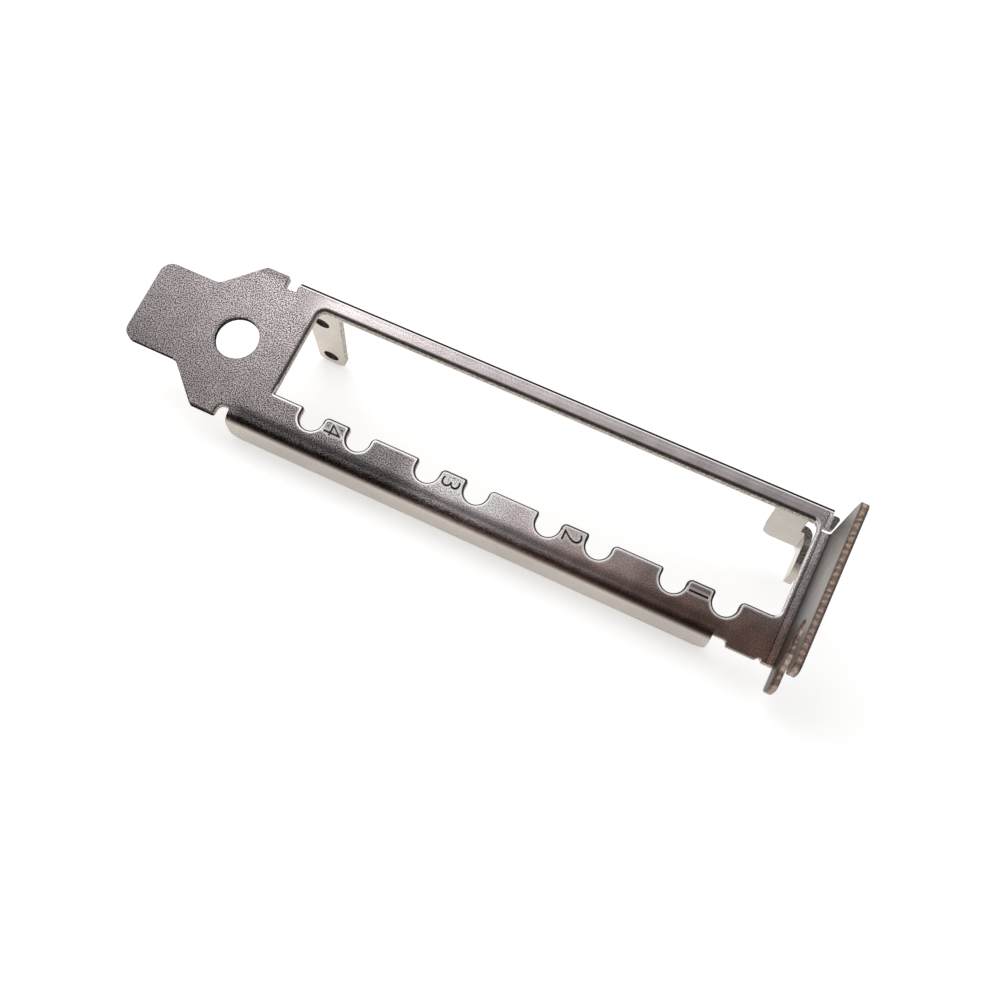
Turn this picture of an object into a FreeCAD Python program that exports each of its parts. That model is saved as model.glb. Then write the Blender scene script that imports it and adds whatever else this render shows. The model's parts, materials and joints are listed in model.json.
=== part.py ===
import FreeCAD, Part
import math
import os

# A half-height expansion card bracket, cut and folded from one piece of nickel-plated sheet.
# It is drawn flat first: X along the length from the tongue's end, Y across the width from the
# middle and Z out of the front face. The flanges and card tabs fold to the back, and the
# mounting tab folds to the front. Then it is laid down as it rests on a table. Millimetres.

# Sheet, folds and edges
sheet = 0.86
flange_fold = 0.45
mount_fold = 0.4
leaf_fold = 0.25
rolled_edge = 0.28
broken_edge = 0.18
cut_corner = 0.3

# Tongue and shoulders
plate_width = 18.42
shoulder_width = 18.2
tongue_width = 10.19
tongue_length = 6.9
tongue_corner = 1.45
tongue_root = 1.5
shoulder_taper = 4.1
shoulder_length = 2.95
upper_shoulder_corner = 1.0
hole_from_end = 12.0
hole_diameter = 5.0

# Notches that free the folds
relief_width = 1.4
relief_depth = 1.45
end_relief_width = 1.55
end_relief_depth = 0.6
end_relief_corner = 0.55
mount_notch_start = 2.85
mount_notch_width = 0.8
mount_notch_depth = 0.4
mount_notch_corner = 0.2

# Window, and the comb of grounding teeth along its lower side
overall_length = 79.2
window_from_flange = 3.5
window_from_mount = 2.2
window_upper = 6.95
window_lower = 4.15
window_corner = 0.9
port_pitch = 13.97
first_notch = 5.18
notch_spacing = 5.69
notch_width = 2.66
notch_depth = 2.25
last_tooth = 1.5
tooth_lead_corner = 0.6
tooth_trail_corner = 0.3

# Flanges, and the ear at the upper flange's end
flange_depth = 4.6
flange_corner = 1.2
lower_flange_gap = 7.5
upper_flange_gap = 1.3
ear_gap = 0.45
ear_top = 8.2
ear_slope = 0.35

# Card tab beside the tongue, with two screw holes
long_tab_root = 4.4
long_tab_tip = 3.5
long_tab_depth = 18.1
long_tab_corner = 1.0
screw_bore = 1.6
screw_countersink = 0.2
screw_from_tip = 1.9
screw_spacing = 8.75

# Card tab beside the mounting tab, with a small leaf folded off it
short_tab_width = 4.1
short_tab_depth = 13.1
short_tab_corner = 1.3
leaf_gap = 2.4
leaf_front = 5.8
leaf_root = 8.2
leaf_taper = 1.9
leaf_back = 10.3
leaf_reach = 5.5
leaf_front_corner = 1.3
leaf_back_corner = 0.7
leaf_slit = 0.3
leaf_slope = 1.5

# Mounting tab with its screw slot. The fold springs back a little.
mount_depth = 11.43
mount_width = 17.95
mount_upper = 6.1
mount_corner = 0.9
mount_lean = 1.0
mount_slit = 0.55
slot_width = 4.42
slot_height = 6.85
slot_length = 6.25
slot_mouth = 0.5
near_prong = 3.5
near_prong_straight = 1.95
near_prong_taper = 1.5

# Worked out across the width
half_plate = plate_width / 2
half_shoulder = shoulder_width / 2
half_tongue = tongue_width / 2
flange_bend = flange_fold + sheet
flange_line = half_plate - flange_bend
flange_inner = half_plate - sheet
relief_floor = half_shoulder - relief_depth
mount_low = mount_upper - mount_width
leaf_end = flange_inner - leaf_reach

# Worked out along the length
shoulder_start = tongue_length + shoulder_taper
relief_start = shoulder_start + shoulder_length
flange_start = relief_start + relief_width
window_start = flange_start + window_from_flange
window_end = overall_length - window_from_mount
lower_flange_end = overall_length - lower_flange_gap
upper_flange_end = overall_length - upper_flange_gap
ear_end = overall_length - ear_gap
leaf_face = overall_length - leaf_gap
leaf_bend = leaf_face - leaf_fold
mount_inner = overall_length - sheet
mount_line = mount_inner - mount_fold
first_port_end = window_start + first_notch + notch_spacing + notch_width / 2
port_count = 1 + int((window_end - last_tooth - first_port_end) / port_pitch)


def on_plate(x, y):
    return FreeCAD.Vector(x, y, -sheet)


def on_upper_flange(x, depth):
    return FreeCAD.Vector(x, flange_inner, -depth)


def on_lower_flange(x, depth):
    return FreeCAD.Vector(x, -half_plate, -depth)


def on_mount(y, z):
    return FreeCAD.Vector(mount_inner, y, z)


def on_leaf(y, depth):
    return FreeCAD.Vector(leaf_face, y, -depth)


def toward(start, end):
    """Unit direction in the flat drawing from one corner to another, and how far it is."""
    length = math.hypot(end[0] - start[0], end[1] - start[1])
    return (end[0] - start[0]) / length, (end[1] - start[1]) / length, length


def rounded_wire(corners, place):
    """Closed wire through (a, b, radius) corners, rounded as far as its sides allow, set by place."""
    bends = []
    for i, (a, b, radius) in enumerate(corners):
        back = toward((a, b), corners[i - 1])
        ahead = toward((a, b), corners[(i + 1) % len(corners)])
        half_angle = math.acos(back[0] * ahead[0] + back[1] * ahead[1]) / 2
        bends.append((back, ahead, half_angle, radius / math.tan(half_angle)))
    ends = []
    for i, (a, b, radius) in enumerate(corners):
        back, ahead, half_angle, run = bends[i]
        wanted = (run + bends[i - 1][3], run + bends[(i + 1) % len(corners)][3])
        fit = min(back[2] / max(wanted[0], back[2]), ahead[2] / max(wanted[1], ahead[2]))
        bulge = radius * fit * (1 / math.sin(half_angle) - 1) / (2 * math.cos(half_angle))
        first = place(a + back[0] * run * fit, b + back[1] * run * fit)
        middle = place(a + (back[0] + ahead[0]) * bulge, b + (back[1] + ahead[1]) * bulge)
        last = place(a + ahead[0] * run * fit, b + ahead[1] * run * fit)
        ends.append((first, middle, last))
    edges = []
    for i, (first, middle, last) in enumerate(ends):
        before = ends[i - 1][2]
        if before.distanceToPoint(first) > 1e-6:
            edges.append(Part.LineSegment(before, first).toShape())
        if first.distanceToPoint(last) > 1e-6:
            edges.append(Part.Arc(first, middle, last).toShape())
    return Part.Wire(edges)


def cut_sheet(corners, place, through):
    """One flat leaf of the sheet: its outline pushed through the sheet's thickness."""
    return Part.Face(rounded_wire(corners, place)).extrude(through)


def make_fold(middle, inside, first, last, along):
    """A fold about an axis through middle, from the first direction to the last, pushed along it."""
    halfway = (first + last).normalize()
    arcs = []
    for radius in (inside, inside + sheet):
        points = [middle + direction * radius for direction in (first, halfway, last)]
        arcs.append(Part.Arc(*points).toShape())
    inner, outer = arcs
    first_side = Part.LineSegment(inner.Vertexes[0].Point, outer.Vertexes[0].Point).toShape()
    last_side = Part.LineSegment(inner.Vertexes[1].Point, outer.Vertexes[1].Point).toShape()
    return Part.Face(Part.Wire([inner, last_side, outer, first_side])).extrude(along)


def tongue_corners():
    """The tongue's end of the outline, from the lower flange round the tongue to the upper one."""
    return [
        (flange_start, -flange_line, 0),
        (flange_start, -relief_floor, relief_width / 2),
        (relief_start, -relief_floor, relief_width / 2),
        (relief_start, -half_shoulder, cut_corner),
        (shoulder_start, -half_shoulder, cut_corner),
        (tongue_length, -half_tongue, tongue_root),
        (0, -half_tongue, tongue_corner),
        (0, half_tongue, tongue_corner),
        (tongue_length, half_tongue, tongue_root),
        (shoulder_start, half_shoulder, upper_shoulder_corner),
        (relief_start, half_shoulder, cut_corner),
        (relief_start, relief_floor, cut_corner),
        (flange_start, relief_floor, cut_corner),
        (flange_start, flange_line, 0),
    ]


def mount_end_corners():
    """The other end, from the upper flange past the ear and the mounting tab to the lower flange."""
    slit_top = mount_upper + mount_slit
    slit_floor = mount_line - mount_slit
    notch_start = overall_length - mount_notch_start
    relief_end = lower_flange_end + end_relief_width
    relief_top = end_relief_depth - half_shoulder
    return [
        (upper_flange_end, flange_line, 0),
        (upper_flange_end, ear_top, 0),
        (ear_end, ear_top, cut_corner),
        (ear_end - ear_slope, slit_top, cut_corner),
        (slit_floor, slit_top, 0),
        (slit_floor, mount_upper, 0),
        (mount_line, mount_upper, 0),
        (mount_line, -half_shoulder, 0),
        (notch_start + mount_notch_width, -half_shoulder, mount_notch_corner),
        (notch_start + mount_notch_width / 2, mount_notch_depth - half_shoulder, mount_notch_corner),
        (notch_start, -half_shoulder, mount_notch_corner),
        (relief_end, -half_shoulder, mount_notch_corner),
        (relief_end, relief_top, end_relief_corner),
        (lower_flange_end, relief_top, 0),
        (lower_flange_end, -flange_line, 0),
    ]


def window_corners():
    """Outline of the window, with two notches for each port along its lower side."""
    corners = [
        (window_end, -window_lower, window_corner),
        (window_end, window_upper, window_corner),
        (window_start, window_upper, window_corner),
        (window_start, -window_lower, cut_corner),
    ]
    floor = -window_lower - notch_depth
    for port in range(port_count):
        for notch in range(2):
            middle = window_start + first_notch + port * port_pitch + notch * notch_spacing
            start = middle - notch_width / 2
            end = middle + notch_width / 2
            corners.append((start, -window_lower, tooth_trail_corner))
            corners.append((start, floor, notch_width / 2))
            corners.append((end, floor, notch_width / 2))
            corners.append((end, -window_lower, tooth_lead_corner))
    return corners


def front_edges(plate, inner):
    """Edges round the plate's front face: those of its cut-outs, or those of its outline."""
    front = max(plate.Faces, key=lambda face: face.CenterOfMass.z)
    edges = []
    for wire in front.Wires:
        if wire.isSame(front.OuterWire) != inner:
            edges.extend(wire.Edges)
    return edges


def make_plate():
    through = FreeCAD.Vector(0, 0, sheet)
    plate = cut_sheet(tongue_corners() + mount_end_corners(), on_plate, through)
    window = cut_sheet(window_corners(), on_plate, through)
    hole = Part.makeCylinder(hole_diameter / 2, sheet, on_plate(hole_from_end, 0))
    plate = plate.cut(window)
    plate = plate.makeFillet(rolled_edge, front_edges(plate, inner=True)).cut(hole)
    tongue_edges = [edge for edge in front_edges(plate, inner=False) if edge.BoundBox.XMax < relief_start]
    hole_edges = [edge for edge in front_edges(plate, inner=True) if edge.BoundBox.XMax < window_start]
    return plate.makeChamfer(broken_edge, tongue_edges + hole_edges)


def make_screw_holes():
    """Bores for the two card screws, countersunk on the inside."""
    across = FreeCAD.Vector(0, 1, 0)
    rim = screw_bore / 2 + screw_countersink
    holes = []
    for row in range(2):
        depth = long_tab_depth - screw_from_tip - row * screw_spacing
        place = on_upper_flange(flange_start + long_tab_tip / 2, depth)
        holes.append(Part.makeCylinder(screw_bore / 2, sheet, place, across))
        holes.append(Part.makeCone(rim, screw_bore / 2, screw_countersink, place, across))
    return holes


def make_upper_flange():
    """Upper flange with both card tabs, one piece of sheet in one plane."""
    slit_end = leaf_bend - leaf_slit
    corners = [
        (flange_start, flange_bend, 0),
        (flange_start, long_tab_depth, long_tab_corner),
        (flange_start + long_tab_tip, long_tab_depth, long_tab_corner),
        (flange_start + long_tab_root, flange_depth, cut_corner),
        (leaf_face - short_tab_width, flange_depth, cut_corner),
        (leaf_face - short_tab_width, short_tab_depth, short_tab_corner),
        (leaf_bend, short_tab_depth, 0),
        (leaf_bend, leaf_root, 0),
        (slit_end, leaf_root, leaf_slit / 2),
        (slit_end, flange_depth, leaf_slit / 2),
        (upper_flange_end, flange_depth, cut_corner),
        (upper_flange_end, flange_bend, 0),
    ]
    flange = cut_sheet(corners, on_upper_flange, FreeCAD.Vector(0, sheet, 0))
    fold = make_fold(
        FreeCAD.Vector(flange_start, flange_line, -flange_bend),
        flange_fold,
        FreeCAD.Vector(0, 0, 1),
        FreeCAD.Vector(0, 1, 0),
        FreeCAD.Vector(upper_flange_end - flange_start, 0, 0),
    )
    return flange.cut(make_screw_holes()).fuse(fold)


def make_leaf():
    """Small leaf folded off the short card tab, square to it and beside the window's end."""
    fold_line = flange_inner - leaf_fold
    corners = [
        (fold_line, leaf_root, 0),
        (fold_line - leaf_taper, leaf_front, leaf_back_corner),
        (leaf_end, leaf_front, leaf_front_corner),
        (leaf_end, leaf_back, leaf_back_corner),
        (fold_line - leaf_slope, leaf_back, leaf_back_corner),
        (fold_line, short_tab_depth, 0),
    ]
    leaf = cut_sheet(corners, on_leaf, FreeCAD.Vector(sheet, 0, 0))
    fold = make_fold(
        FreeCAD.Vector(leaf_bend, fold_line, -short_tab_depth),
        leaf_fold,
        FreeCAD.Vector(0, 1, 0),
        FreeCAD.Vector(1, 0, 0),
        FreeCAD.Vector(0, 0, short_tab_depth - leaf_root),
    )
    return leaf.fuse(fold)


def make_lower_flange():
    corners = [
        (flange_start, flange_bend, 0),
        (flange_start, flange_depth, flange_corner),
        (lower_flange_end, flange_depth, flange_corner),
        (lower_flange_end, flange_bend, 0),
    ]
    flange = cut_sheet(corners, on_lower_flange, FreeCAD.Vector(0, sheet, 0))
    fold = make_fold(
        FreeCAD.Vector(flange_start, -flange_line, -flange_bend),
        flange_fold,
        FreeCAD.Vector(0, 0, 1),
        FreeCAD.Vector(0, -1, 0),
        FreeCAD.Vector(lower_flange_end - flange_start, 0, 0),
    )
    return flange.fuse(fold)


def make_mount():
    """Mounting tab, turned out to the front, with a screw slot open at its lower end."""
    slot_low = slot_height - slot_width / 2
    slot_high = slot_height + slot_width / 2
    slot_end = mount_low + slot_length
    prong_side = near_prong - sheet
    corners = [
        (mount_upper, mount_fold, 0),
        (mount_upper, mount_depth, mount_corner),
        (mount_low, mount_depth, mount_corner),
        (mount_low, slot_high, slot_mouth),
        (slot_end, slot_high, slot_width / 2),
        (slot_end, slot_low, slot_width / 2),
        (mount_low + near_prong_straight + near_prong_taper, slot_low, slot_mouth),
        (mount_low + near_prong_straight, prong_side, slot_mouth),
        (mount_low, prong_side, mount_corner),
        (mount_low, -sheet, mount_corner),
        (-half_shoulder, -sheet, 0),
        (-half_shoulder, mount_fold, 0),
    ]
    tab = cut_sheet(corners, on_mount, FreeCAD.Vector(sheet, 0, 0))
    axis = FreeCAD.Vector(mount_line, -half_shoulder, mount_fold)
    lean = FreeCAD.Rotation(FreeCAD.Vector(0, 1, 0), mount_lean)
    tab.rotate(axis, lean.Axis, mount_lean)
    fold = make_fold(
        axis,
        mount_fold,
        FreeCAD.Vector(0, 0, -1),
        lean.multVec(FreeCAD.Vector(1, 0, 0)),
        FreeCAD.Vector(0, mount_upper + half_shoulder, 0),
    )
    return tab.fuse(fold)


def lay_down(bracket):
    """Turn the bracket onto its lower flange's edge and its long card tab's tip, and centre it."""
    tilt = math.atan2(long_tab_depth - flange_depth, flange_inner + half_plate)
    bracket.rotate(FreeCAD.Vector(0, 0, 0), FreeCAD.Vector(1, 0, 0), math.degrees(tilt))
    box = bracket.optimalBoundingBox(True)
    bracket.translate(FreeCAD.Vector(-box.Center.x, -box.Center.y, -box.ZMin))
    return bracket


os.makedirs("parts", exist_ok=True)
folds = [make_upper_flange(), make_leaf(), make_lower_flange(), make_mount()]
bracket = lay_down(make_plate().multiFuse(folds).removeSplitter())
bracket.exportStep("parts/bracket.step")
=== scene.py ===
import json
import math

import bmesh
import bpy
from bpy.props import FloatProperty, FloatVectorProperty, IntProperty, PointerProperty
from mathutils import Euler, Matrix, Vector


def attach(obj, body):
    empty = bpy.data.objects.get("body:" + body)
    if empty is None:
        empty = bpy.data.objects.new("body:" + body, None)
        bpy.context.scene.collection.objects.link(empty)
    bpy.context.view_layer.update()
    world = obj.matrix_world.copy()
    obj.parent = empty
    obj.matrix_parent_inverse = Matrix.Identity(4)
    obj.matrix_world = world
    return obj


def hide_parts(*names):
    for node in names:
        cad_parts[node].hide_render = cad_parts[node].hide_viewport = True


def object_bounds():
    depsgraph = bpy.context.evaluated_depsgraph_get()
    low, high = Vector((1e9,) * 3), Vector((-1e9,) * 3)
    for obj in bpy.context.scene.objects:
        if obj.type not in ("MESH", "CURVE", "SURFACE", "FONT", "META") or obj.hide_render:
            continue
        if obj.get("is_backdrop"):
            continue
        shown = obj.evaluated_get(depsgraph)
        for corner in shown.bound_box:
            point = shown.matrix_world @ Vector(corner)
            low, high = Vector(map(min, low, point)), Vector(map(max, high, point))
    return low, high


bl_info = {
    "name": "Half-height card bracket",
    "version": (1, 0, 0),
    "blender": (4, 5, 0),
    "location": "View3D > Sidebar > Bracket",
    "description": "Finishes a folded nickel-plated card bracket with stamped digits and threaded holes",
    "category": "Object",
}

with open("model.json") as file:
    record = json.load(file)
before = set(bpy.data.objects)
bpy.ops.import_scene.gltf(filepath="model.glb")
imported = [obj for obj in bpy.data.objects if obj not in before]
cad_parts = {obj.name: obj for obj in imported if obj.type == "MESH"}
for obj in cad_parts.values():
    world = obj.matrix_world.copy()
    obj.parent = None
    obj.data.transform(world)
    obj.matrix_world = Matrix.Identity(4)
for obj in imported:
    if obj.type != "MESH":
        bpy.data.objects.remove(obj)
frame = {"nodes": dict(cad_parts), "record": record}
bpy.context.view_layer.update()
CAD_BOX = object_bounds()

# Sizes of the folded sheet in millimetres, in the plate's own frame: X along the bracket from the
# tongue's end, Y across it from the middle and Z out of the front face
MM = 0.001
SHEET = 0.86
FLANGE_START = 15.35
FLANGE_LINE = 7.9
FOLD_DEPTH = 1.31
MOUNT_LINE = 77.94
MOUNT_FOLD = 0.4
MOUNT_TOP = 6.2
MOUNT_NECK = -9.1
LEAF_LINE = 76.5
LEAF_FOLD = 8.1
LEAF_DEPTH = 5.7
RELIEF_START = 13.9
WINDOW_START = 18.85
WINDOW_BRIGHT = 76.5
ROLL = 0.3
UPPER_FOLD = 8.0
MOUNT_FACE = 78.93
PORT_END = 76.2
BEAD_PITCH = 0.74
WHITE = (1, 1, 1, 1)
SMOOTH_ANGLE = math.radians(32)
NICKEL, SHEARED, DARK = range(3)

MOUNTS = {mount["name"]: mount for mount in frame["record"]["mounts"]}
FRONT = Vector(MOUNTS["front_face"]["axis"])
TILT = math.atan2(-FRONT.y, FRONT.z)
PLATE_ORIGIN = Vector(MOUNTS["tongue"]["pos_m"]) + FRONT * (SHEET * MM / 2)
PLATE = Matrix.Translation(PLATE_ORIGIN) @ Matrix.Rotation(TILT, 4, "X") @ Matrix.Scale(MM, 4)
PLATE_BACK = PLATE.inverted()


class BracketMetal(bpy.types.PropertyGroup):
    nickel: FloatVectorProperty(
        name="Nickel", description="Colour of the plated faces", subtype="COLOR",
        size=4, default=(0.40, 0.355, 0.36, 1), min=0, max=1)
    # Painted sheen: a paler copy of the nickel for the flanges, the tabs and the leaf's tip, standing in for
    # the bright surroundings they reflect
    flange_painted_sheen: FloatVectorProperty(
        name="Flange nickel", description="Colour of the smoother plating on the flanges and tabs",
        subtype="COLOR", size=4, default=(0.66, 0.60, 0.535, 1), min=0, max=1)
    sheared: FloatVectorProperty(
        name="Cut edge", description="Colour of the sheared edges", subtype="COLOR",
        size=4, default=(0.56, 0.50, 0.45, 1), min=0, max=1)
    rim: FloatVectorProperty(
        name="Mounting tab's edge", description="Colour of the mounting tab's browner cut edge",
        subtype="COLOR", size=4, default=(0.38, 0.285, 0.24, 1), min=0, max=1)
    # Painted highlight colour along the teeth, the window's end and the upper fold
    rolled: FloatVectorProperty(
        name="Rolled edge", description="Colour of the burnished roll round the window",
        subtype="COLOR", size=4, default=(1.0, 0.98, 0.96, 1), min=0, max=1)
    # Painted shade colour in the holes, digits and threads, and for the painted dark lines along the
    # window's roll, the tongue's edge and the upper fold's back
    dark: FloatVectorProperty(
        name="Dark steel", description="Colour where the plating is thin, inside holes and digits",
        subtype="COLOR", size=4, default=(0.075, 0.062, 0.056, 1), min=0, max=1)
    # Width of the painted highlight band along the teeth
    band: FloatProperty(
        name="Burnished band", description="Width of the bright band along the teeth",
        subtype="DISTANCE", default=0.55 * MM, min=0, precision=6)
    rim_round: FloatProperty(
        name="Edge rounding", description="Rounding along the mounting tab's edge",
        subtype="DISTANCE", default=0.24 * MM, min=0, precision=6)
    grain: FloatProperty(
        name="Grain", description="Size of the grain on the front face", subtype="DISTANCE",
        default=0.12 * MM, min=0.02 * MM, precision=6)
    grain_depth: FloatProperty(
        name="Grain depth", description="Height of the grain", subtype="DISTANCE",
        default=0.012 * MM, min=0, precision=6)
    roughness: FloatProperty(
        name="Roughness", description="Roughness of the plated faces", subtype="FACTOR",
        default=0.42, min=0, max=1)


class BracketDigits(bpy.types.PropertyGroup):
    height: FloatProperty(
        name="Height", description="Height of a stamped digit", subtype="DISTANCE",
        default=2.1 * MM, min=0.5 * MM, precision=5)
    depth: FloatProperty(
        name="Depth", description="How deep a digit is stamped", subtype="DISTANCE",
        default=0.2 * MM, min=0.02 * MM, precision=5)
    along: FloatProperty(
        name="First digit", description="From the tongue's end to the first digit",
        subtype="DISTANCE", default=26.875 * MM, precision=5)
    across: FloatProperty(
        name="Across", description="From the plate's middle to the digits", subtype="DISTANCE",
        default=-5.35 * MM, precision=5)
    pitch: FloatProperty(
        name="Pitch", description="From one digit to the next", subtype="DISTANCE",
        default=13.97 * MM, precision=5)
    count: IntProperty(name="Count", description="How many digits", default=4, min=1, max=9)


class BracketThreads(bpy.types.PropertyGroup):
    major: FloatProperty(
        name="Major radius", description="Radius of the thread's root", subtype="DISTANCE",
        default=1.0 * MM, precision=6)
    ridge: FloatProperty(
        name="Ridge", description="Radius of the thread's rounded ridge", subtype="DISTANCE",
        default=0.1 * MM, precision=6)
    pitch: FloatProperty(
        name="Pitch", description="From one ridge to the next", subtype="DISTANCE",
        default=0.4 * MM, precision=6)


class BracketStage(bpy.types.PropertyGroup):
    floor: FloatVectorProperty(
        name="Floor", description="Colour of the floor", subtype="COLOR", size=4,
        default=(0.80, 0.80, 0.80, 1), min=0, max=1)
    lift: FloatProperty(
        name="Floor lift", description="Light that the floor adds where it is seen",
        default=0.5, min=0)
    ambient: FloatProperty(
        name="Ambient", description="Light from all round", default=0.72, min=0)
    lamp: FloatProperty(
        name="Lamp", description="Power of the soft lamp", subtype="POWER", default=1.7, min=0)


def link(obj):
    """Puts an object in the scene and gives it back."""
    bpy.context.scene.collection.objects.link(obj)
    return obj


def object_of(name, shape):
    """Puts a finished bmesh in the scene as an object."""
    mesh = bpy.data.meshes.new(name)
    shape.to_mesh(mesh)
    shape.free()
    return link(bpy.data.objects.new(name, mesh))


def settle(obj):
    """Turns an object with its modifiers into a plain mesh."""
    depsgraph = bpy.context.evaluated_depsgraph_get()
    mesh = bpy.data.meshes.new_from_object(obj.evaluated_get(depsgraph))
    obj.modifiers.clear()
    obj.data = mesh
    return obj


class Nodes:
    """Short calls for building a node tree."""

    def __init__(self, tree):
        self.tree = tree

    def add(self, kind, inputs=None, **settings):
        node = self.tree.nodes.new(kind)
        for name, value in settings.items():
            setattr(node, name, value)
        for name, value in (inputs or {}).items():
            socket = node.inputs[name]
            if isinstance(value, bpy.types.NodeSocket):
                self.tree.links.new(value, socket)
            else:
                socket.default_value = value
        return node

    def maths(self, operation, first, second=0.0, clamp=False):
        node = self.add("ShaderNodeMath", {0: first, 1: second}, operation=operation, use_clamp=clamp)
        return node.outputs[0]

    def chain(self, operation, values):
        result = values[0]
        for value in values[1:]:
            result = self.maths(operation, result, value)
        return result

    def product(self, *values):
        return self.chain("MULTIPLY", values)

    def total(self, *values):
        return self.chain("ADD", values)

    def most(self, *values):
        return self.chain("MAXIMUM", values)

    def rest(self, value):
        """What a value leaves of 1."""
        return self.maths("SUBTRACT", 1.0, value)

    def ramp(self, value, start, end, low=0.0, high=1.0):
        node = self.add(
            "ShaderNodeMapRange",
            {"Value": value, "From Min": start, "From Max": end, "To Min": low, "To Max": high},
            interpolation_type="SMOOTHSTEP",
        )
        return node.outputs["Result"]

    def noise(self, place, size, detail=2.0, roughness=0.5):
        node = self.add(
            "ShaderNodeTexNoise",
            {"Vector": place, "Scale": 1 / size, "Detail": detail, "Roughness": roughness},
        )
        return node.outputs["Fac"]

    def tint(self, factor, first, second, blend="MIX"):
        node = self.add("ShaderNodeMix", {0: factor}, data_type="RGBA", blend_type=blend)
        for socket, colour in ((node.inputs[6], first), (node.inputs[7], second)):
            if isinstance(colour, bpy.types.NodeSocket):
                self.tree.links.new(colour, socket)
            else:
                socket.default_value = colour
        return node.outputs[2]

    def dye(self, colour, amount):
        """A colour multiplied by a number or by another colour."""
        return self.tint(1.0, colour, amount, "MULTIPLY")

    def plate_place(self):
        """Object coordinates turned into the plate's frame, in millimetres, and their X, Y and Z."""
        mapping = self.add(
            "ShaderNodeMapping",
            {
                "Vector": self.add("ShaderNodeTexCoord").outputs["Object"],
                "Location": PLATE_BACK.to_translation(),
                "Rotation": PLATE_BACK.to_euler(),
                "Scale": (1 / MM,) * 3,
            },
        )
        place = mapping.outputs["Vector"]
        axes = self.add("ShaderNodeSeparateXYZ", {"Vector": place}).outputs
        return place, axes["X"], axes["Y"], axes["Z"]


def new_material(name):
    """An empty material, and the calls that fill its node tree."""
    material = bpy.data.materials.new(name)
    material.use_nodes = True
    material.node_tree.nodes.clear()
    return material, Nodes(material.node_tree)


def shade(nodes, colour, roughness, height, bump_size, glancing=WHITE):
    """Metal with its colour, roughness and bump, and the tint it has at a glancing angle."""
    bump = nodes.add("ShaderNodeBump", {"Height": height, "Distance": bump_size, "Strength": 1.0})
    shader = nodes.add(
        "ShaderNodeBsdfPrincipled",
        {
            "Base Color": colour,
            "Metallic": 1.0,
            "Roughness": roughness,
            "Specular Tint": glancing,
            "Normal": bump.outputs["Normal"],
        },
    )
    nodes.add("ShaderNodeOutputMaterial", {"Surface": shader.outputs["BSDF"]})


def front_colour_with_painted_light(nodes, look, x, y, z, grain, mottle):
    """Colour of the plate's front, with painted light and shade: its tone changes along the rails and beside
    the folds.
    """
    # Painted light: darker toward the lower side, the tongue's end and the right end, with painted
    # highlights palest along the upper rail's tongue end and on the middle teeth, and painted shade past the
    # mounting line
    tone = nodes.product(nodes.ramp(y, -8.0, 7.0, 0.6, 1.03), nodes.ramp(x, 0.0, 16.0, 0.66, 0.95))
    rail_highlight_fade = nodes.total(nodes.ramp(x, 15.0, 85.0, 0.7, 0.06), nodes.ramp(x, 38.0, 22.0, 0.0, 0.45))
    rail = nodes.product(nodes.ramp(y, 4.2, 6.8), nodes.ramp(x, 16.5, 20.5), rail_highlight_fade)
    teeth_highlight_fade = nodes.product(nodes.ramp(x, 34.0, 41.0), nodes.ramp(x, 70.0, 41.0, 0.0, 1.45))
    teeth = nodes.product(nodes.ramp(y, 4.0, 0.0), teeth_highlight_fade)
    tone = nodes.product(
        nodes.total(tone, rail, teeth),
        nodes.ramp(x, 64.0, 75.0, 1.0, 0.95),
        nodes.ramp(x, MOUNT_LINE + 0.04, MOUNT_LINE + 0.12, 1.0, 0.35))

    # Painted shade, darker down to the lower fold, with a paler painted line before the brown one where it
    # is sharpest, and painted shade in the fold's crease
    beside_fold = nodes.product(
        nodes.ramp(x, 73.5, 71.5), nodes.ramp(x, 14.6, 17.0), nodes.ramp(x, 48.0, 70.0, 1.0, 0.62))
    fold = nodes.maths(
        "SUBTRACT", nodes.ramp(y, -6.4, -7.5, 0.0, 0.76), nodes.ramp(y, -7.6, -8.05, 0.0, 0.2))
    crease_shade = nodes.product(nodes.ramp(y, -7.0, -8.0), nodes.ramp(z, 0.0, -0.2, 0.0, 0.75))
    tone = nodes.product(tone, nodes.rest(nodes.product(fold, beside_fold)), nodes.rest(crease_shade))

    # Painted shade, a little darker up to the upper fold, with a painted dark line and a painted pale strip
    # beside the mounting fold
    upper = nodes.ramp(y, UPPER_FOLD, UPPER_FOLD + 0.3, 1.0, 0.72)
    line = nodes.product(nodes.ramp(x, 77.38, 77.44), nodes.ramp(x, 77.54, 77.48, 0.0, 0.6))
    strip = nodes.product(nodes.ramp(x, 77.5, 77.56), nodes.ramp(x, 77.98, 77.92, 0.0, 0.6))
    tone = nodes.product(tone, upper, nodes.total(nodes.rest(line), strip))

    # Coarse speckle on the tongue, finer along the bracket and on the upper rail
    speckle = nodes.maths("SUBTRACT", nodes.ramp(grain, 0.41, 0.59, 0.02, 2.3), 1.0)
    on_rail = nodes.product(nodes.ramp(x, 15.5, 18.0), nodes.ramp(y, 4.5, 6.8), 0.7)
    coarse = nodes.product(nodes.ramp(x, 26.0, 58.0, 1.0, 0.3), nodes.rest(on_rail))
    coarse = nodes.most(coarse, nodes.ramp(x, 76.7, 77.1, 0.0, 0.5))
    speckle = nodes.total(nodes.product(speckle, coarse), 1.0)
    tone = nodes.product(tone, nodes.ramp(mottle, 0.3, 0.7, 0.88, 1.12), speckle)

    # Browner toward the mounting fold, and painted brown shade in the lower fold's crease
    toward_mount = nodes.product(nodes.ramp(x, 42.0, 76.0), nodes.ramp(y, -2.5, -7.5, 0.0, 0.9))
    brown = nodes.maths("ADD", toward_mount, crease_shade, clamp=True)
    return nodes.dye(nodes.dye(look.nickel, tone), nodes.tint(brown, WHITE, (1, 0.66, 0.52, 1)))


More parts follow.
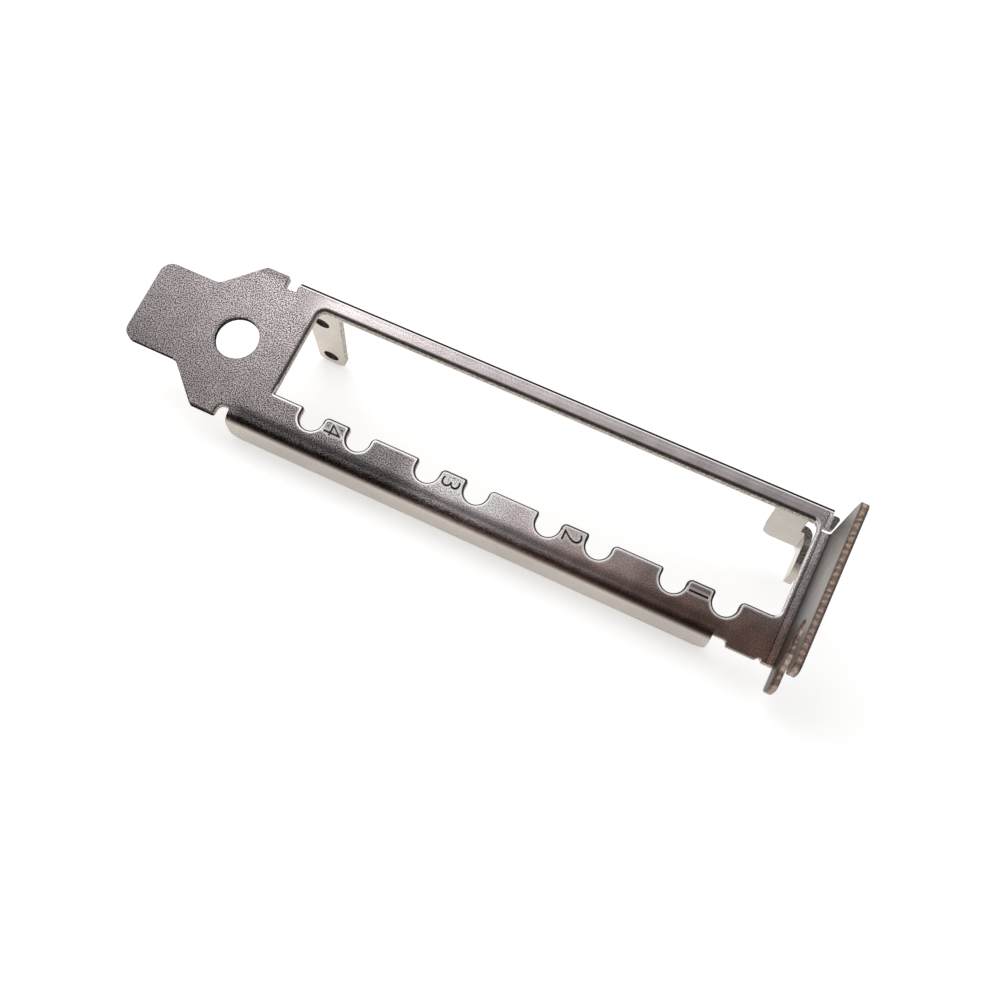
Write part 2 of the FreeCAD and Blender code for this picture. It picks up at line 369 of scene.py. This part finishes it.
def side_colour_with_painted_light(nodes, look, x, y, z, grain, cloud):
    """Colour of the flanges and tabs, in the pale painted sheen, with painted shade inside the mounting tab.
    """
    light = nodes.product(nodes.ramp(cloud, 0.3, 0.7, 0.94, 1.06), nodes.ramp(grain, 0.2, 0.8, 0.93, 1.06))
    # Painted shade inside the mounting tab, darkest near its fold; also a little darker toward the short tab
    # and on the lower flange
    outside = nodes.maths("ADD", nodes.ramp(x, 78.85, 78.95), nodes.ramp(z, 0.0, -0.1), clamp=True)
    inside = nodes.most(outside, nodes.ramp(z, 0.3, 11.5, 0.13, 0.46))
    short_tab = nodes.product(nodes.ramp(x, 40.0, 70.0), nodes.ramp(y, 7.6, 8.2, 0.0, 0.24))
    lower = nodes.ramp(y, -8.3, -8.8, 1.0, 0.87)
    return nodes.dye(look.flange_painted_sheen, nodes.product(light, inside, nodes.rest(short_tab), lower))


def punched_edges(nodes, look, digits, x, y, z, grain):
    """Masks of the painted highlight along the teeth and the window's end, and of the painted dark line
    elsewhere along the window's edge.
    """
    rounded = nodes.add("ShaderNodeBevel", {"Radius": look.band}, samples=16).outputs["Normal"]
    kept = nodes.add("ShaderNodeVectorMath", {0: rounded, 1: tuple(FRONT)}, operation="DOT_PRODUCT")
    kept = kept.outputs["Value"]
    window = nodes.product(
        nodes.ramp(x, 18.2, 18.4), nodes.ramp(x, 77.2, 77.05), nodes.ramp(y, -7.0, -6.6),
        nodes.ramp(y, 7.7, 7.5), nodes.ramp(z, -0.5, -0.4))
    beside_teeth = nodes.product(
        nodes.ramp(y, -2.8, -3.2), nodes.ramp(x, 18.7, 18.9),
        nodes.ramp(x, PORT_END, PORT_END + 0.4, 1.0, 0.6))
    flecked = nodes.product(
        nodes.ramp(x, PORT_END, PORT_END + 0.4), nodes.ramp(grain, 0.4, 0.6, 0.5, 0.85))
    beside_teeth = nodes.most(beside_teeth, flecked)

    # The painted highlight is fainter beside the digits, which repeat along the bracket
    from_digit = nodes.maths(
        "PINGPONG", nodes.maths("SUBTRACT", x, digits.along / MM), digits.pitch / MM / 2)
    on_digit = nodes.product(
        nodes.ramp(from_digit, 1.15, 0.95), nodes.ramp(y, -4.5, -4.7), nodes.ramp(y, -6.7, -6.5), 0.6)
    band = nodes.product(nodes.ramp(kept, 0.9985, 0.996), beside_teeth, window, nodes.rest(on_digit))
    elsewhere = nodes.ramp(beside_teeth, 0.5, 0.1)
    shaded = nodes.product(nodes.ramp(kept, 0.9985, 0.994), elsewhere, window, 0.85)
    return band, shaded


def nickel_material(look, digits):
    """Fine-grained nickel on the plate, turning smoother over the folds and paler there in a painted sheen,
    with painted highlights and painted dark lines.
    """
    material, nodes = new_material("fine_grained_nickel")
    place, x, y, z = nodes.plate_place()
    grain = nodes.noise(place, look.grain / MM, 1.0, 0.6)
    mottle = nodes.noise(place, 2.6, 2.0)
    cloud = nodes.noise(place, 14.0, 1.0)

    # The upper fold: a thin painted highlight line, then a painted dark line down its back
    upper = nodes.ramp(y, UPPER_FOLD, UPPER_FOLD + 0.3)
    bright = nodes.product(upper, nodes.ramp(z, -0.13, -0.17), nodes.ramp(z, -0.27, -0.23))
    painted_dark_lines = nodes.product(upper, nodes.ramp(z, -0.22, -0.28), nodes.ramp(z, -0.85, -0.65))
    band, shaded = punched_edges(nodes, look, digits, x, y, z, grain)
    painted_dark_lines = nodes.most(painted_dark_lines, shaded)

    behind = nodes.ramp(z, -0.28, -SHEET + 0.01)
    mount = nodes.product(nodes.ramp(x, MOUNT_LINE - 0.02, MOUNT_LINE + 0.11), nodes.ramp(z, 0.02, 0.2))
    side = nodes.maths("ADD", behind, mount, clamp=True)
    colour = nodes.tint(
        side, front_colour_with_painted_light(nodes, look, x, y, z, grain, mottle),
        side_colour_with_painted_light(nodes, look, x, y, z, grain, cloud))
    # Painted highlights in the roll's white along the teeth, the window's end and the upper fold, and
    # painted dark lines down the upper fold's back and along the window's edge
    colour = nodes.tint(nodes.most(band, bright), colour, look.rolled)
    colour = nodes.tint(painted_dark_lines, colour, look.dark)

    rough = nodes.total(
        nodes.ramp(mottle, 0.3, 0.7, -0.04, 0.04), nodes.ramp(z, -0.02, -0.2, look.roughness, 0.3))
    height = nodes.product(grain, nodes.ramp(side, 0.0, 1.0, 1.0, 0.15))
    shade(nodes, colour, rough, height, look.grain_depth, nodes.tint(painted_dark_lines, WHITE, look.dark))
    return material


def sheared_material(look):
    """Torn, flecked cut edge, with a row of beads along the mounting tab's browner one."""
    material, nodes = new_material("sheared_edge")
    place, x, y, z = nodes.plate_place()
    fleck = nodes.noise(place, 0.2, 3.0, 0.7)
    wander = nodes.product(nodes.noise(place, 1.3, 2.0), 9.0)
    bead = nodes.maths("SINE", nodes.total(nodes.product(y, 2 * math.pi / BEAD_PITCH), wander))
    middle = nodes.ramp(nodes.maths("ABSOLUTE", nodes.maths("SUBTRACT", x, MOUNT_FACE)), 0.34, 0.1)
    on_rim = nodes.ramp(z, 0.3, 0.6)
    beads = nodes.total(nodes.product(nodes.ramp(bead, -0.9, 1.0, 0.5, 0.95), middle), 0.42)
    rim_colour = nodes.dye(look.rim, nodes.product(beads, nodes.ramp(fleck, 0.3, 0.7, 0.65, 1.4)))

    # The short tab's leaf is darker along its edge, and pale at its tip in the flanges' painted sheen
    on_leaf = nodes.product(nodes.ramp(x, 76.2, 76.5), nodes.ramp(z, -5.0, -5.6))
    torn = nodes.product(nodes.ramp(fleck, 0.36, 0.62, 0.22, 1.25), nodes.rest(nodes.product(on_leaf, 0.55)))
    at_tip = nodes.product(on_leaf, nodes.ramp(y, 4.2, 3.7, 0.0, 0.9))
    torn_colour = nodes.tint(at_tip, nodes.dye(look.sheared, torn), look.flange_painted_sheen)
    height = nodes.total(fleck, nodes.product(bead, middle, on_rim, 0.4))
    shade(nodes, nodes.tint(on_rim, torn_colour, rim_colour), 0.5, height, 0.05 * MM)
    return material


def painted_shade_material(look):
    """Painted shade in the holes, the digits and the threads, and a painted dark reflection on the outer
    half of the window's roll and the tongue's cut edge.
    """
    material, nodes = new_material("painted_dark_shade")
    place, *_ = nodes.plate_place()
    streak = nodes.noise(place, 0.3, 3.0, 0.6)
    colour = nodes.dye(look.dark, nodes.ramp(streak, 0.3, 0.7, 0.7, 1.5))
    shade(nodes, colour, nodes.ramp(streak, 0.3, 0.7, 0.5, 0.34), streak, 0.012 * MM, look.dark)
    return material


def is_dark(middle, normal):
    """Whether a face takes the painted dark shade: on the window's roll, or on the tongue's or the round
    hole's cut edge.
    """
    x, y, z = middle
    if x < RELIEF_START:
        return abs(normal.z) < 0.5
    if x < WINDOW_START or x > WINDOW_BRIGHT or abs(y) > FLANGE_LINE:
        return False
    return z > -ROLL and 0.2 <= normal.z < 0.97


def is_sheared(middle, normal):
    """Whether a face lies on the sheet's cut edge, from its middle and normal in the plate's frame."""
    x, y, z = middle
    if x > MOUNT_LINE - 0.02 and y < MOUNT_TOP:
        if z < MOUNT_FOLD and y > MOUNT_NECK:
            return abs(normal.y) > 0.5
        return abs(normal.x) < 0.95
    if x > LEAF_LINE and z < -LEAF_DEPTH:
        if y > LEAF_FOLD:
            return abs(normal.z) > 0.5
        return abs(normal.x) < 0.7
    if z < -FOLD_DEPTH:
        return abs(normal.y) < 0.7
    if x > FLANGE_START - 0.01 and abs(y) > FLANGE_LINE:
        return abs(normal.x) > 0.5
    return abs(normal.z) < 0.3


def rim_edges(solid):
    """Edges between the mounting tab's faces and its cut edge."""
    edges = []
    turn_back = PLATE_BACK.to_3x3()
    for edge in solid.edges:
        ends = [PLATE_BACK @ vertex.co for vertex in edge.verts]
        on_tab = all(end.x > 78.2 and (end.z > 0.6 or end.y < MOUNT_NECK - 0.3) for end in ends)
        if on_tab and len(edge.link_faces) == 2:
            leans = sorted(abs((turn_back @ face.normal).normalized().x) for face in edge.link_faces)
            if leans[0] < 0.3 and leans[1] > 0.9:
                edges.append(edge)
    return edges


def digit_places(sizes):
    """Middle of each digit in the plate's frame, from the tongue."""
    first = Vector((sizes.along, sizes.across, 0)) / MM
    return [first + Vector((row * sizes.pitch / MM, 0, 0)) for row in range(sizes.count)]


def digit_stamps(sizes):
    """One mesh of all the digits, each standing across the front face where it is stamped."""
    stamps = bmesh.new()
    for row, place in enumerate(digit_places(sizes)):
        text = bpy.data.curves.new("digit", "FONT")
        text.body = str(sizes.count - row)
        text.align_x = "CENTER"
        text.extrude = 0.5
        text.offset = -0.012
        letter = link(bpy.data.objects.new("digit", text))
        depsgraph = bpy.context.evaluated_depsgraph_get()
        mesh = bpy.data.meshes.new_from_object(letter.evaluated_get(depsgraph))
        bpy.data.objects.remove(letter)
        low = Vector(min(v.co[i] for v in mesh.vertices) for i in range(3))
        high = Vector(max(v.co[i] for v in mesh.vertices) for i in range(3))
        size = sizes.height / MM / (high.y - low.y)
        middle = (low + high) / 2
        mesh.transform(
            Matrix.Translation(place)
            @ Matrix.Rotation(-math.pi / 2, 4, "Z")
            @ Matrix.Diagonal((size, size, 2 * sizes.depth / MM, 1))
            @ Matrix.Translation(-middle))
        stamps.from_mesh(mesh)
        bpy.data.meshes.remove(mesh)
    bmesh.ops.remove_doubles(stamps, verts=stamps.verts, dist=1e-4)
    return stamps


def screw_places():
    """Middle of each card screw's hole, and the way through it, in the row's frame."""
    holes = [MOUNTS["card_screw_near_tip"], MOUNTS["card_screw_near_fold"]]
    return [Vector(hole["pos_m"]) for hole in holes], Vector(holes[0]["axis"])


def cut_boxes(digits, threads):
    """Boxes round the stamped digits and the screw holes, by two corners in the plate's frame."""
    tooth = Vector((1.3, 1.0, 0.0))
    deep = Vector((0, 0, 2 * digits.depth / MM))
    skin = Vector((0, 0, 0.003))
    boxes = [(place - tooth - deep, place + tooth - skin) for place in digit_places(digits)]
    radius = threads.major / MM + 0.02
    half = Vector((radius, SHEET / 2 - 0.01, radius))
    middles = [PLATE_BACK @ place for place in screw_places()[0]]
    return boxes + [(middle - half, middle + half) for middle in middles]


def is_inside(point, box):
    """Whether a point lies inside a box given by its two corners."""
    low, high = box
    return all(low[i] < point[i] < high[i] for i in range(3))


def rounded_sheet(rounding):
    """The bracket's solid as a mesh of its own, with the mounting tab's edge rounded."""
    solid = bmesh.new()
    solid.from_mesh(frame["nodes"]["bracket"].data)
    bmesh.ops.remove_doubles(solid, verts=solid.verts, dist=1e-6)
    bmesh.ops.dissolve_limit(
        solid, angle_limit=math.radians(0.1), verts=solid.verts, edges=solid.edges)
    bmesh.ops.bevel(
        solid, geom=rim_edges(solid), offset=rounding, offset_type="OFFSET",
        segments=3, profile=0.5, affect="EDGES", clamp_overlap=True)
    return object_of("bracket_sheet", solid)


def cut_away(sheet, digits, threads):
    """Stamps the digits into the sheet and opens its screw holes for their threads."""
    stamps = digit_stamps(digits)
    stamps.transform(PLATE)
    places, through = screw_places()
    turn = through.to_track_quat("Z", "Y").to_matrix().to_4x4()
    for place in places:
        bmesh.ops.create_cone(
            stamps, cap_ends=True, segments=40, radius1=threads.major, radius2=threads.major,
            depth=3 * SHEET * MM, matrix=Matrix.Translation(place) @ turn)
    cutter = object_of("cutter", stamps)
    cut = sheet.modifiers.new("cut", "BOOLEAN")
    cut.object = cutter
    cut.operation = "DIFFERENCE"
    cut.solver = "EXACT"
    cut.use_self = True
    settle(sheet)
    bpy.data.objects.remove(cutter)


def dress_faces(mesh, cuts):
    """Gives each face its finish, from where it lies and where it faces."""
    turn_back = PLATE_BACK.to_3x3()
    for face in mesh.polygons:
        face.use_smooth = True
        normal = (turn_back @ face.normal).normalized()
        middle = PLATE_BACK @ face.center
        if is_dark(middle, normal) or any(is_inside(middle, cut) for cut in cuts):
            face.material_index = DARK
        else:
            face.material_index = SHEARED if is_sheared(middle, normal) else NICKEL


def flatten(mesh, normal):
    """Keeps the flat front's shading flat right up to its rolled edges and its digits."""
    flat = set()
    for face in mesh.polygons:
        if face.normal.dot(normal) > 0.9999:
            flat.update(face.vertices)
    normals = [corner.vector.copy() for corner in mesh.corner_normals]
    for face in mesh.polygons:
        if face.normal.dot(normal) > math.cos(SMOOTH_ANGLE):
            for corner in face.loop_indices:
                if mesh.loops[corner].vertex_index in flat:
                    normals[corner] = normal
    mesh.normals_split_custom_set(normals)


class BRACKET_OT_sheet(bpy.types.Operator):
    """Make the folded sheet, with its digits stamped and its screw holes opened for their threads"""

    bl_idname = "bracket.sheet"
    bl_label = "Folded sheet"

    def execute(self, context):
        scene = context.scene
        look, digits, threads = scene.bracket_metal, scene.bracket_digits, scene.bracket_threads
        sheet = rounded_sheet(look.rim_round)
        cut_away(sheet, digits, threads)

        mesh = sheet.data
        mesh.materials.clear()
        for material in (nickel_material(look, digits), sheared_material(look), painted_shade_material(look)):
            mesh.materials.append(material)
        dress_faces(mesh, cut_boxes(digits, threads))
        mesh.set_sharp_from_angle(angle=SMOOTH_ANGLE)
        weighted = sheet.modifiers.new("flat faces stay flat", "WEIGHTED_NORMAL")
        weighted.mode = "FACE_AREA"
        weighted.keep_sharp = True
        settle(sheet)
        flatten(sheet.data, FRONT)

        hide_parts("bracket")
        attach(sheet, "root")
        return {"FINISHED"}


def thread_tree():
    """Geometry nodes for a row of threads: a round ridge wound inside each hole."""
    tree = bpy.data.node_groups.new("threads", "GeometryNodeTree")
    wanted = (
        ("Radius", "NodeSocketFloat"),
        ("Ridge", "NodeSocketFloat"),
        ("Length", "NodeSocketFloat"),
        ("Turns", "NodeSocketFloat"),
        ("Count", "NodeSocketInt"),
        ("First", "NodeSocketVector"),
        ("Step", "NodeSocketVector"),
        ("Turn", "NodeSocketRotation"),
        ("Material", "NodeSocketMaterial"),
    )
    for name, kind in wanted:
        tree.interface.new_socket(name, in_out="INPUT", socket_type=kind)
    tree.interface.new_socket("Geometry", in_out="OUTPUT", socket_type="NodeSocketGeometry")
    nodes = Nodes(tree)
    given = nodes.add("NodeGroupInput").outputs
    spiral = nodes.add(
        "GeometryNodeCurveSpiral",
        {
            "Resolution": 24,
            "Rotations": given["Turns"],
            "Start Radius": given["Radius"],
            "End Radius": given["Radius"],
            "Height": given["Length"],
        },
    )
    profile = nodes.add("GeometryNodeCurvePrimitiveCircle", {"Resolution": 6, "Radius": given["Ridge"]})
    ridge = nodes.add(
        "GeometryNodeCurveToMesh",
        {"Curve": spiral.outputs["Curve"], "Profile Curve": profile.outputs["Curve"], "Fill Caps": True},
    )
    half = nodes.maths("MULTIPLY", given["Length"], -0.5)
    drop = nodes.add("ShaderNodeCombineXYZ", {"Z": half})
    centred = nodes.add(
        "GeometryNodeTransform", {"Geometry": ridge.outputs["Mesh"], "Translation": drop.outputs["Vector"]})
    smooth = nodes.add("GeometryNodeSetShadeSmooth", {"Geometry": centred.outputs["Geometry"]})
    holes = nodes.add(
        "GeometryNodeMeshLine",
        {"Count": given["Count"], "Start Location": given["First"], "Offset": given["Step"]},
    )
    wound = nodes.add(
        "GeometryNodeInstanceOnPoints",
        {
            "Points": holes.outputs["Mesh"],
            "Instance": smooth.outputs["Geometry"],
            "Rotation": given["Turn"],
        },
    )
    real = nodes.add("GeometryNodeRealizeInstances", {"Geometry": wound.outputs["Instances"]})
    dressed = nodes.add(
        "GeometryNodeSetMaterial", {"Geometry": real.outputs["Geometry"], "Material": given["Material"]})
    nodes.add("NodeGroupOutput", {"Geometry": dressed.outputs["Geometry"]})
    return tree


class BRACKET_OT_threads(bpy.types.Operator):
    """Wind the threads inside the two card screw holes"""

    bl_idname = "bracket.threads"
    bl_label = "Screw threads"

    def execute(self, context):
        sizes = context.scene.bracket_threads
        places, through = screw_places()
        threads = link(bpy.data.objects.new("screw_threads", bpy.data.meshes.new("screw_threads")))
        modifier = threads.modifiers.new("threads", "NODES")
        modifier.node_group = thread_tree()
        length = SHEET * MM - 2 * sizes.ridge
        offset = -through * (0.1 * MM)
        values = {
            "Radius": sizes.major - sizes.ridge * 0.4,
            "Ridge": sizes.ridge,
            "Length": length,
            "Turns": length / sizes.pitch,
            "Count": len(places),
            "First": places[0] + offset,
            "Step": places[1] - places[0],
            "Turn": through.to_track_quat("Z", "Y").to_euler(),
            "Material": bpy.data.materials["painted_dark_shade"],
        }
        for item in modifier.node_group.interface.items_tree:
            if item.in_out == "INPUT":
                modifier[item.identifier] = values[item.name]
        settle(threads)
        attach(threads, "root")
        return {"FINISHED"}


def panel_object(name, corners, material):
    """A flat four-sided panel through its corners."""
    mesh = bpy.data.meshes.new(name)
    mesh.from_pydata(corners, [], [tuple(range(len(corners)))])
    mesh.materials.append(material)
    obj = link(bpy.data.objects.new(name, mesh))
    obj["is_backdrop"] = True
    return obj


def seen_light(nodes):
    """1 on rays from the camera, and on those that metal and glass send on, otherwise 0."""
    path = nodes.add("ShaderNodeLightPath").outputs
    seen = nodes.maths("ADD", path["Is Camera Ray"], path["Is Glossy Ray"])
    return nodes.maths("ADD", seen, path["Is Transmission Ray"], clamp=True)


class BRACKET_OT_stage(bpy.types.Operator):
    """Set the pale floor, the soft light and the camera"""

    bl_idname = "bracket.stage"
    bl_label = "Stage"

    def execute(self, context):
        scene = context.scene
        look = scene.bracket_stage

        material, nodes = new_material("pale_floor")
        matt = nodes.add("ShaderNodeBsdfDiffuse", {"Color": look.floor})
        lift = nodes.add(
            "ShaderNodeEmission", {"Strength": nodes.maths("MULTIPLY", seen_light(nodes), look.lift)})
        both = nodes.add("ShaderNodeAddShader")
        nodes.tree.links.new(matt.outputs[0], both.inputs[0])
        nodes.tree.links.new(lift.outputs[0], both.inputs[1])
        nodes.add("ShaderNodeOutputMaterial", {"Surface": both.outputs[0]})
        half = 3.0
        corners = [(-half, -half, 0), (half, -half, 0), (half, half, 0), (-half, half, 0)]
        panel_object("floor", corners, material)

        dark, nodes = new_material("dark_flag")
        shadow = nodes.add("ShaderNodeEmission", {"Strength": 0.1})
        nodes.add("ShaderNodeOutputMaterial", {"Surface": shadow.outputs[0]})
        flags = {
            "front_flag": [(-0.8, -0.5, 0.03), (0.8, -0.5, 0.03), (0.8, -0.5, 0.45), (-0.8, -0.5, 0.45)],
            "top_flag": [(-0.12, -0.5, 0.45), (0.8, -0.5, 0.45), (0.8, -0.1, 0.33), (-0.05, -0.1, 0.33)],
        }
        for name, corners in flags.items():
            flag = panel_object(name, corners, dark)
            flag.visible_camera = False
            flag.visible_diffuse = False
            flag.visible_transmission = False
            flag.visible_volume_scatter = False
            flag.visible_shadow = False

        world = bpy.data.worlds.new("soft_light")
        world.use_nodes = True
        world.node_tree.nodes.clear()
        nodes = Nodes(world.node_tree)
        extra = nodes.maths("MULTIPLY", seen_light(nodes), 1.0 - look.ambient)
        sky = nodes.add("ShaderNodeBackground", {"Strength": nodes.maths("ADD", extra, look.ambient)})
        nodes.add("ShaderNodeOutputWorld", {"Surface": sky.outputs[0]})
        scene.world = world

        lamp = bpy.data.lights.new("soft_lamp", "AREA")
        lamp.shape = "RECTANGLE"
        lamp.size = 0.8
        lamp.size_y = 0.8
        lamp.energy = look.lamp
        holder = link(bpy.data.objects.new("soft_lamp", lamp))
        holder.location = (-0.42, 0.12, 0.55)
        holder.rotation_euler = holder.location.to_track_quat("Z", "Y").to_euler()

        camera = bpy.data.cameras.new("camera")
        camera.sensor_width = 36
        camera.lens = 44.97
        camera.shift_x = 0.08
        camera.shift_y = 0.06
        camera.clip_start = 0.005
        holder = link(bpy.data.objects.new("camera", camera))
        holder.location = Vector((24.816, -110.982, 81.060)) * MM
        holder.rotation_euler = Euler([math.radians(turn) for turn in (50.2996, -12.8482, 23.5145)])
        scene.camera = holder
        scene.view_settings.view_transform = "Standard"
        return {"FINISHED"}


class BRACKET_PT_panel(bpy.types.Panel):
    """Buttons that make the bracket"""

    bl_idname = "BRACKET_PT_panel"
    bl_label = "Bracket"
    bl_space_type = "VIEW_3D"
    bl_region_type = "UI"
    bl_category = "Bracket"

    def draw(self, context):
        for operator in OPERATORS:
            self.layout.operator(operator.bl_idname)
        for name in GROUPS:
            box = self.layout.box()
            group = getattr(context.scene, name)
            for value in group.bl_rna.properties.keys():
                if value not in ("rna_type", "name"):
                    box.prop(group, value)


GROUPS = {
    "bracket_metal": BracketMetal,
    "bracket_digits": BracketDigits,
    "bracket_threads": BracketThreads,
    "bracket_stage": BracketStage,
}
OPERATORS = (BRACKET_OT_sheet, BRACKET_OT_threads, BRACKET_OT_stage)


def register():
    for group in (*GROUPS.values(), *OPERATORS, BRACKET_PT_panel):
        bpy.utils.register_class(group)
    for name, group in GROUPS.items():
        setattr(bpy.types.Scene, name, PointerProperty(type=group))


def unregister():
    for name in GROUPS:
        delattr(bpy.types.Scene, name)
    for group in (BRACKET_PT_panel, *OPERATORS, *GROUPS.values()):
        bpy.utils.unregister_class(group)


def main():
    register()
    bpy.ops.bracket.sheet()
    bpy.ops.bracket.threads()
    bpy.ops.bracket.stage()
    bpy.context.view_layer.update()
    boxes = {"cad": CAD_BOX, "visual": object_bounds()}
    boxes = {name: [list(corner) for corner in box] for name, box in boxes.items()}


if __name__ == "__main__":
    main()
